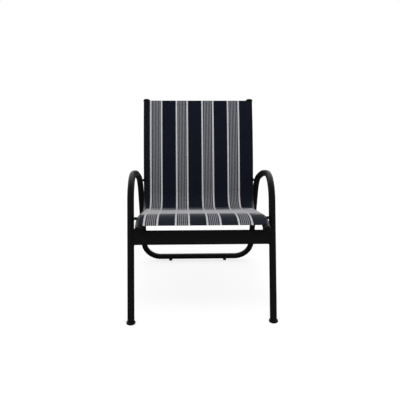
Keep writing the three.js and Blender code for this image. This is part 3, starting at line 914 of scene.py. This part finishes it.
def maths(tree, operation, *values):
    node = tree.nodes.new("ShaderNodeMath")
    node.operation = operation
    for socket, value in zip(node.inputs, values):
        put(tree, socket, value)
    return node.outputs[0]


def blend(tree, kind, share, a, b):
    """Mixes a with the share of b. The kind is Color or Float."""
    node = tree.nodes.new("ShaderNodeMix")
    node.data_type = "RGBA" if kind == "Color" else "FLOAT"
    inputs = {socket.identifier: socket for socket in node.inputs}
    outputs = {socket.identifier: socket for socket in node.outputs}
    put(tree, inputs["Factor_Float"], share)
    put(tree, inputs[f"A_{kind}"], a)
    put(tree, inputs[f"B_{kind}"], b)
    return outputs[f"Result_{kind}"]


def remap(tree, value, given, wanted):
    """Takes one range of values to another, and holds what lies past its ends."""
    node = tree.nodes.new("ShaderNodeMapRange")
    for socket, setting in zip(node.inputs, (value, *given, *wanted)):
        put(tree, socket, setting)
    return node.outputs[0]


def noise(tree, vector, scale, detail, roughness):
    node = tree.nodes.new("ShaderNodeTexNoise")
    put(tree, node.inputs["Vector"], vector)
    put(tree, node.inputs["Scale"], scale)
    put(tree, node.inputs["Detail"], detail)
    put(tree, node.inputs["Roughness"], roughness)
    return node.outputs["Fac"]


def bump(tree, height, strength, distance):
    node = tree.nodes.new("ShaderNodeBump")
    put(tree, node.inputs["Height"], height)
    put(tree, node.inputs["Strength"], strength)
    put(tree, node.inputs["Distance"], distance)
    return node.outputs["Normal"]


def coordinates(tree, kind="Object"):
    return tree.nodes.new("ShaderNodeTexCoord").outputs[kind]


def split_up(tree, vector):
    node = tree.nodes.new("ShaderNodeSeparateXYZ")
    put(tree, node.inputs[0], vector)
    return node.outputs


def make_grain_group():
    """Fine grain of a coated or moulded surface: its height, and a soft patchiness."""
    tree, given, result = new_group(
        "surface_grain",
        {"Vector": "NodeSocketVector", "Grain Scale": "NodeSocketFloat"},
        {"Height": "NodeSocketFloat", "Patches": "NodeSocketFloat"},
    )
    vector = given["Vector"]
    scale = given["Grain Scale"]
    fine = noise(tree, vector, scale, *FINE_GRAIN)
    coarse = noise(tree, vector, maths(tree, "MULTIPLY", scale, COARSE_SCALE_SHARE), *COARSE_GRAIN)
    put(tree, result["Height"], maths(tree, "MULTIPLY_ADD", coarse, COARSE_HEIGHT_SHARE, fine))
    put(tree, result["Patches"], noise(tree, vector, *PATCH_NOISE))
    return tree


def make_dust_group():
    """A thin film of dust that settles on upward faces, as a mask."""
    tree, given, result = new_group(
        "settled_dust",
        {"Vector": "NodeSocketVector", "Amount": "NodeSocketFloat"},
        {"Mask": "NodeSocketFloat"},
    )
    facing = tree.nodes.new("ShaderNodeNewGeometry").outputs["Normal"]
    upward = remap(tree, split_up(tree, facing)["Z"], DUSTY_SLOPE, WHOLE_RANGE)
    specks = noise(tree, given["Vector"], *SPECK_NOISE)
    cloudy = noise(tree, given["Vector"], *CLOUD_NOISE)
    mask = maths(tree, "MULTIPLY", upward, maths(tree, "MULTIPLY", specks, cloudy))
    put(tree, result["Mask"], maths(tree, "MULTIPLY", mask, given["Amount"]))
    return tree


GRAIN = make_grain_group()
DUST = make_dust_group()


def coated_surface(name):
    """A coated or moulded surface with grain, patchy gloss and a trace of dust."""
    colour, roughness, grain_scale, depth, metallic = FINISHES[name]
    lighter = [c * PATCH_LIGHTER_SHARE for c in colour]
    material, tree, shader = new_material(name)
    vector = coordinates(tree)
    grain = use_group(tree, GRAIN, vector=vector, grain_scale=grain_scale)
    film = use_group(tree, DUST, vector=vector, amount=DUST_SHARE)["Mask"]
    body = blend(tree, "Color", grain["Patches"], (*colour, 1), (*lighter, 1))
    put(tree, shader.inputs["Base Color"], blend(tree, "Color", film, body, DUST_COLOUR))
    rough = remap(tree, grain["Patches"], PATCH_RANGE, roughness)
    put(tree, shader.inputs["Roughness"], maths(tree, "ADD", rough, film))
    put(tree, shader.inputs["Normal"], bump(tree, grain["Height"], GRAIN_BUMP, depth))
    shader.inputs["Metallic"].default_value = metallic
    return material


# Stripes: a white line at each side of a pinstriped band, repeated across the navy cloth. The
# whole stripes added keep the distance above 0 from edge to edge.
STRIPE_PERIOD = 0.1254
STRIPE_CENTRE = -0.0805
STRIPES_ADDED = 4
STRIPE_SOFTNESS = 0.0003
LINE_CENTRE = 0.0261
LINE_HALF = 0.00375
PIN_PITCH = 0.00745
PIN_HALF = 0.0013
PINS_HALF = 0.0175
GROUND_HALF = 0.0205

# Yarns. In the twill each weft yarn passes over one warp yarn in three. Where the cloth is seen
# nearly edge-on, a painted sheen, a pale grey mixed into the base colour, covers the stripes.
YARN_PITCH = 0.00093
TWILL_REPEAT = 3
TWILL_LIMIT = 0.5
NAVY_YARN = (0.0054, 0.0076, 0.0174, 1)
WHITE_YARN = (0.645, 0.645, 0.655, 1)
PIN_YARN = (0.355, 0.355, 0.380, 1)
GROUND_YARN = (0.037, 0.039, 0.050, 1)
DARK_WEFT = (0.0050, 0.0064, 0.0130, 1)
# Painted sheen: the pale grey mixed into the cloth's base colour where it is seen nearly edge-on.
PAINTED_SHEEN_COLOUR = (0.525, 0.525, 0.545, 1)
WORN_YARN = (0.20, 0.20, 0.21, 1)
WEFT_SHARE = 0.55
# The painted sheen's share grows by this power as the cloth turns edge-on, up to the most.
PAINTED_SHEEN_SHARE = 0.000295
PAINTED_SHEEN_POWER = 3.3
PAINTED_SHEEN_MOST = 0.88
DRIFT_NOISE = (30.0, 4.0, 0.6)
WORN_RANGE = (0.3, 0.8)
WORN_SHARES = (0, 0.012)
CLOTH_ROUGHNESS = (0.5, 0.6)
CLOTH_BUMP = (0.5, 0.0003)
CLOTH_SPECULAR = 0.08
CLOTH_SHEEN = 0.06
CLOTH_SHEEN_ROUGHNESS = 0.2

# Hem thread
THREAD_DARK = (0.01, 0.011, 0.016, 1)
THREAD_LIGHT = (0.03, 0.03, 0.036, 1)
THREAD_TWIST_SCALE = 900.0
THREAD_BUMP = (0.4, 0.0001)
THREAD_ROUGHNESS = 0.6


def inside(tree, value, half):
    """1 where the value is under the half width, with a soft edge."""
    return remap(tree, value, (half + STRIPE_SOFTNESS, half - STRIPE_SOFTNESS), WHOLE_RANGE)


def stripe_masks(tree, across):
    """Masks over the cloth: the white lines, the pins and the band's ground."""
    start = STRIPE_PERIOD / 2 - STRIPE_CENTRE + STRIPES_ADDED * STRIPE_PERIOD
    within = maths(tree, "MODULO", maths(tree, "ADD", across, start), STRIPE_PERIOD)
    distance = maths(tree, "ABSOLUTE", maths(tree, "SUBTRACT", within, STRIPE_PERIOD / 2))
    from_line = maths(tree, "ABSOLUTE", maths(tree, "SUBTRACT", distance, LINE_CENTRE))
    from_pin = maths(tree, "PINGPONG", distance, PIN_PITCH / 2)
    line = inside(tree, from_line, LINE_HALF)
    pin = inside(tree, from_pin, PIN_HALF)
    pins = maths(tree, "MULTIPLY", pin, inside(tree, distance, PINS_HALF))
    return line, pins, inside(tree, distance, GROUND_HALF)


def yarn_round(tree, place):
    """How high yarns side by side stand: 0 between two of them, 1 on top of one."""
    return maths(tree, "SINE", maths(tree, "MULTIPLY", maths(tree, "FRACT", place), math.pi))


def weave(tree, across, run):
    """Twill of round yarns: where the warp lies on top, and the height of the cloth."""
    column = maths(tree, "DIVIDE", across, YARN_PITCH)
    row = maths(tree, "DIVIDE", run, YARN_PITCH)
    step = maths(tree, "ADD", maths(tree, "FLOOR", column), maths(tree, "FLOOR", row))
    third = maths(tree, "FLOORED_MODULO", step, TWILL_REPEAT)
    warp_on_top = maths(tree, "GREATER_THAN", third, TWILL_LIMIT)
    height = blend(tree, "Float", warp_on_top, yarn_round(tree, row), yarn_round(tree, column))
    return warp_on_top, height


def painted_sheen_mask(tree):
    """How much of the stripes the painted sheen covers, which grows towards an edge-on view."""
    glance = tree.nodes.new("ShaderNodeLayerWeight").outputs["Facing"]
    upright = maths(tree, "SUBTRACT", 1, glance)
    painted_sheen = maths(tree, "DIVIDE", PAINTED_SHEEN_SHARE, maths(tree, "POWER", upright, PAINTED_SHEEN_POWER))
    return maths(tree, "MINIMUM", painted_sheen, PAINTED_SHEEN_MOST)


def woven_sling(name):
    material, tree, shader = new_material(name)
    layer = tree.nodes.new("ShaderNodeUVMap")
    layer.uv_map = "cloth"
    split = split_up(tree, layer.outputs[0])
    warp_on_top, height = weave(tree, split["X"], split["Y"])
    line, pins, ground = stripe_masks(tree, split["X"])
    drift = noise(tree, layer.outputs[0], *DRIFT_NOISE)
    warp = blend(tree, "Color", ground, NAVY_YARN, GROUND_YARN)
    warp = blend(tree, "Color", pins, warp, PIN_YARN)
    warp = blend(tree, "Color", line, warp, WHITE_YARN)
    between = blend(tree, "Color", WEFT_SHARE, warp, DARK_WEFT)
    cloth = blend(tree, "Color", warp_on_top, between, warp)
    worn = blend(tree, "Color", remap(tree, drift, WORN_RANGE, WORN_SHARES), cloth, WORN_YARN)
    # Painted sheen: a pale grey mixed into the base colour where the cloth is seen nearly edge-on.
    seen = blend(tree, "Color", painted_sheen_mask(tree), worn, PAINTED_SHEEN_COLOUR)
    put(tree, shader.inputs["Base Color"], seen)
    put(tree, shader.inputs["Roughness"], remap(tree, drift, PATCH_RANGE, CLOTH_ROUGHNESS))
    put(tree, shader.inputs["Normal"], bump(tree, height, *CLOTH_BUMP))
    shader.inputs["Specular IOR Level"].default_value = CLOTH_SPECULAR
    shader.inputs["Sheen Weight"].default_value = CLOTH_SHEEN
    shader.inputs["Sheen Roughness"].default_value = CLOTH_SHEEN_ROUGHNESS
    return material


def plain_thread(name):
    material, tree, shader = new_material(name)
    twist = tree.nodes.new("ShaderNodeTexWave")
    put(tree, twist.inputs["Vector"], coordinates(tree))
    put(tree, twist.inputs["Scale"], THREAD_TWIST_SCALE)
    strand = twist.outputs["Fac"]
    put(tree, shader.inputs["Base Color"], blend(tree, "Color", strand, THREAD_DARK, THREAD_LIGHT))
    put(tree, shader.inputs["Normal"], bump(tree, strand, *THREAD_BUMP))
    shader.inputs["Roughness"].default_value = THREAD_ROUGHNESS
    return material


# What the pieces are made of, as (material, slot)
POWDER_COAT = coated_surface("black_powder_coat")
BRIGHT_ZINC = coated_surface("bright_zinc_plate")
SPLINE_VINYL = coated_surface("spline_vinyl")
STEEL = (POWDER_COAT, "frame_steel")
ALLOY = (POWDER_COAT, "rail_aluminium")
PLASTIC = (coated_surface("black_moulded_plastic"), "black_plastic")
BLACK_STEEL = (coated_surface("black_zinc_plate"), "black_steel")
WEAVE = (woven_sling("striped_sling_cloth"), "sling_weave")
THREAD = (plain_thread("hem_thread"), "sling_weave")


# Putting the pieces on the frame
def install(piece, made_of, *nodes):
    material, slot = made_of
    piece.data.materials.clear()
    piece.data.materials.append(material)
    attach(piece, "root")
    if nodes:
        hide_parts(*nodes)
    return piece


def dress_node(node, material):
    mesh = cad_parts[node].data
    mesh.materials.clear()
    mesh.materials.append(material)


def build_side(word, side):
    install(side_tube(f"{word}_side_tube", side), STEEL, f"{word}_arm_tube")
    install(foot_cap(f"{word}_foot_pad", side), PLASTIC, f"{word}_foot_cap")
    install(sling_rail(f"{word}_grooved_rail", side), ALLOY, f"{word}_sling_rail")
    install(rail_cap(f"{word}_front_rail_plug", side, 0), PLASTIC, f"{word}_rail_front_cap")
    install(rail_cap(f"{word}_top_rail_plug", side, RAIL_LENGTH), PLASTIC, f"{word}_rail_top_cap")
    glide = f"{word}_rear_glide"
    install(rear_glide(f"{word}_floor_glide", glide), PLASTIC, glide)
    for place in ("front", "rear"):
        spacer = f"{word}_{place}_rail_spacer"
        install(rail_spacer(f"{word}_{place}_spacer", spacer, side), PLASTIC, spacer)
        bolt = f"{word}_{place}_rail_bolt"
        install(rail_bolt(f"{word}_{place}_bolt", bolt, side), BLACK_STEEL, bolt)
        dress_node(f"{word}_{place}_rail_insert", BRIGHT_ZINC)
    install(stretcher_weld(f"{word}_stretcher_weld", side), STEEL)
    spreader_places = {"seat": SEAT_SPREADER_DISTANCE, "back": BACK_SPREADER_DISTANCE}
    for place, distance in spreader_places.items():
        install(spreader_weld(f"{word}_{place}_spreader_weld", side, distance), ALLOY)
    dress_node(f"{word}_spline", SPLINE_VINYL)
    dress_node(f"{word}_splice_sleeve", BRIGHT_ZINC)
    dress_node(f"{word}_glide_screw", BRIGHT_ZINC)


def build_middle():
    install(floor_tube("rear_floor_tube"), STEEL, "rear_base_tube")
    install(front_stretcher("front_flat_stretcher"), STEEL, "front_stretcher")
    seat_bar = spreader("bowed_seat_spreader", SEAT_SPREADER_DISTANCE, SEAT_SPREADER_BOW)
    install(seat_bar, ALLOY, "seat_spreader")
    back_bar = spreader("straight_back_spreader", BACK_SPREADER_DISTANCE, 0)
    install(back_bar, ALLOY, "back_spreader")


def build_sling():
    sheet = install(sling_sheet("striped_sling"), WEAVE, "sling_fabric")
    for i, inset in enumerate(STITCH_INSETS):
        for word, distance in (("front", SHEET_START + inset), ("top", SHEET_END - inset)):
            row = stitch_row(f"{word}_hem_stitches_{i + 1}", distance)
            install(row, THREAD)


# Studio: floor, light and camera. A glossy surface sees a sky that is bright high at the back.
FLOOR_HALF = 14.0
FLOOR_COLOUR = (0.80, 0.80, 0.80, 1)
FLOOR_COLOUR_SEEN = (0.36, 0.36, 0.36, 1)
FLOOR_COLOUR_REFLECTED = (0.07, 0.07, 0.07, 1)
FLOOR_ROUGHNESS = 0.9
FLOOR_GLOW = 0.74
SURROUND_LIGHT = 0.83
SKY_HEIGHT_SHARE = 0.4
SKY_RANGE = (0.35, 0.95)
SKY_STRENGTHS = (0.12, 1.1)
LAMP_PLACE = Vector((0, -0.8, 2.2))
LAMP_TARGET = Vector((0, 0, 0.4))
LAMP_SIZE = 0.8
LAMP_POWER = 9


def floor_material():
    material, tree, shader = new_material("studio_floor")
    shader.inputs["Roughness"].default_value = FLOOR_ROUGHNESS
    shader.inputs["Specular IOR Level"].default_value = 0
    path = tree.nodes.new("ShaderNodeLightPath").outputs
    seen = path["Is Camera Ray"]
    colour = blend(tree, "Color", path["Is Glossy Ray"], FLOOR_COLOUR, FLOOR_COLOUR_REFLECTED)
    put(tree, shader.inputs["Base Color"], blend(tree, "Color", seen, colour, FLOOR_COLOUR_SEEN))
    shader.inputs["Emission Color"].default_value = WHITE
    put(tree, shader.inputs["Emission Strength"], maths(tree, "MULTIPLY", seen, FLOOR_GLOW))
    return material


def build_floor():
    deselect_all()
    bpy.ops.mesh.primitive_plane_add(size=2 * FLOOR_HALF, location=(0, 0, 0))
    floor = take_new("studio_floor")
    floor.data.materials.append(floor_material())


def build_surroundings():
    """White to the camera, a plain studio to glossy surfaces and an even light to all else."""
    world = bpy.data.worlds.new("studio")
    bpy.context.scene.world = world
    world.use_nodes = True
    world.cycles.sampling_method = "NONE"
    tree = world.node_tree
    back = tree.nodes["Background"]
    back.inputs["Color"].default_value = WHITE
    path = tree.nodes.new("ShaderNodeLightPath").outputs
    way = split_up(tree, coordinates(tree, "Generated"))
    level = maths(tree, "MULTIPLY_ADD", way["Z"], SKY_HEIGHT_SHARE, way["Y"])
    sky = remap(tree, level, SKY_RANGE, SKY_STRENGTHS)
    strength = blend(tree, "Float", path["Is Glossy Ray"], SURROUND_LIGHT, sky)
    plain = maths(tree, "MAXIMUM", path["Is Camera Ray"], path["Is Transmission Ray"])
    put(tree, back.inputs["Strength"], blend(tree, "Float", plain, strength, 1))


def build_lamp():
    light = bpy.data.lights.new("top_softbox", "AREA")
    light.shape = "RECTANGLE"
    light.size = LAMP_SIZE
    light.size_y = LAMP_SIZE
    light.energy = LAMP_POWER
    lamp = bpy.data.objects.new("top_softbox", light)
    lamp.location = LAMP_PLACE
    lamp.rotation_euler = (LAMP_TARGET - LAMP_PLACE).to_track_quat("-Z", "Y").to_euler()
    lamp.visible_glossy = False
    bpy.context.scene.collection.objects.link(lamp)


def build_camera():
    camera = bpy.data.objects.new("photo_camera", bpy.data.cameras.new("photo_camera"))
    camera.data.lens = CAMERA_LENS
    camera.data.sensor_width = CAMERA_SENSOR_WIDTH
    x, y, z = CAMERA_PLACE
    camera.location = (x, FRONT_Y + y, z)
    ahead = Vector((math.sin(CAMERA_AZIMUTH), math.cos(CAMERA_AZIMUTH), 0))
    look = ahead * math.cos(CAMERA_PITCH) - UPWARD * math.sin(CAMERA_PITCH)
    aim = look.to_track_quat("-Z", "Y") @ Quaternion(UPWARD, CAMERA_ROLL)
    camera.rotation_euler = aim.to_euler()
    bpy.context.scene.collection.objects.link(camera)
    bpy.context.scene.camera = camera


build_side("right", RIGHT)
build_side("left", LEFT)
build_middle()
build_sling()
build_floor()
build_surroundings()
build_lamp()
build_camera()
bpy.context.scene.view_settings.view_transform = "Standard"
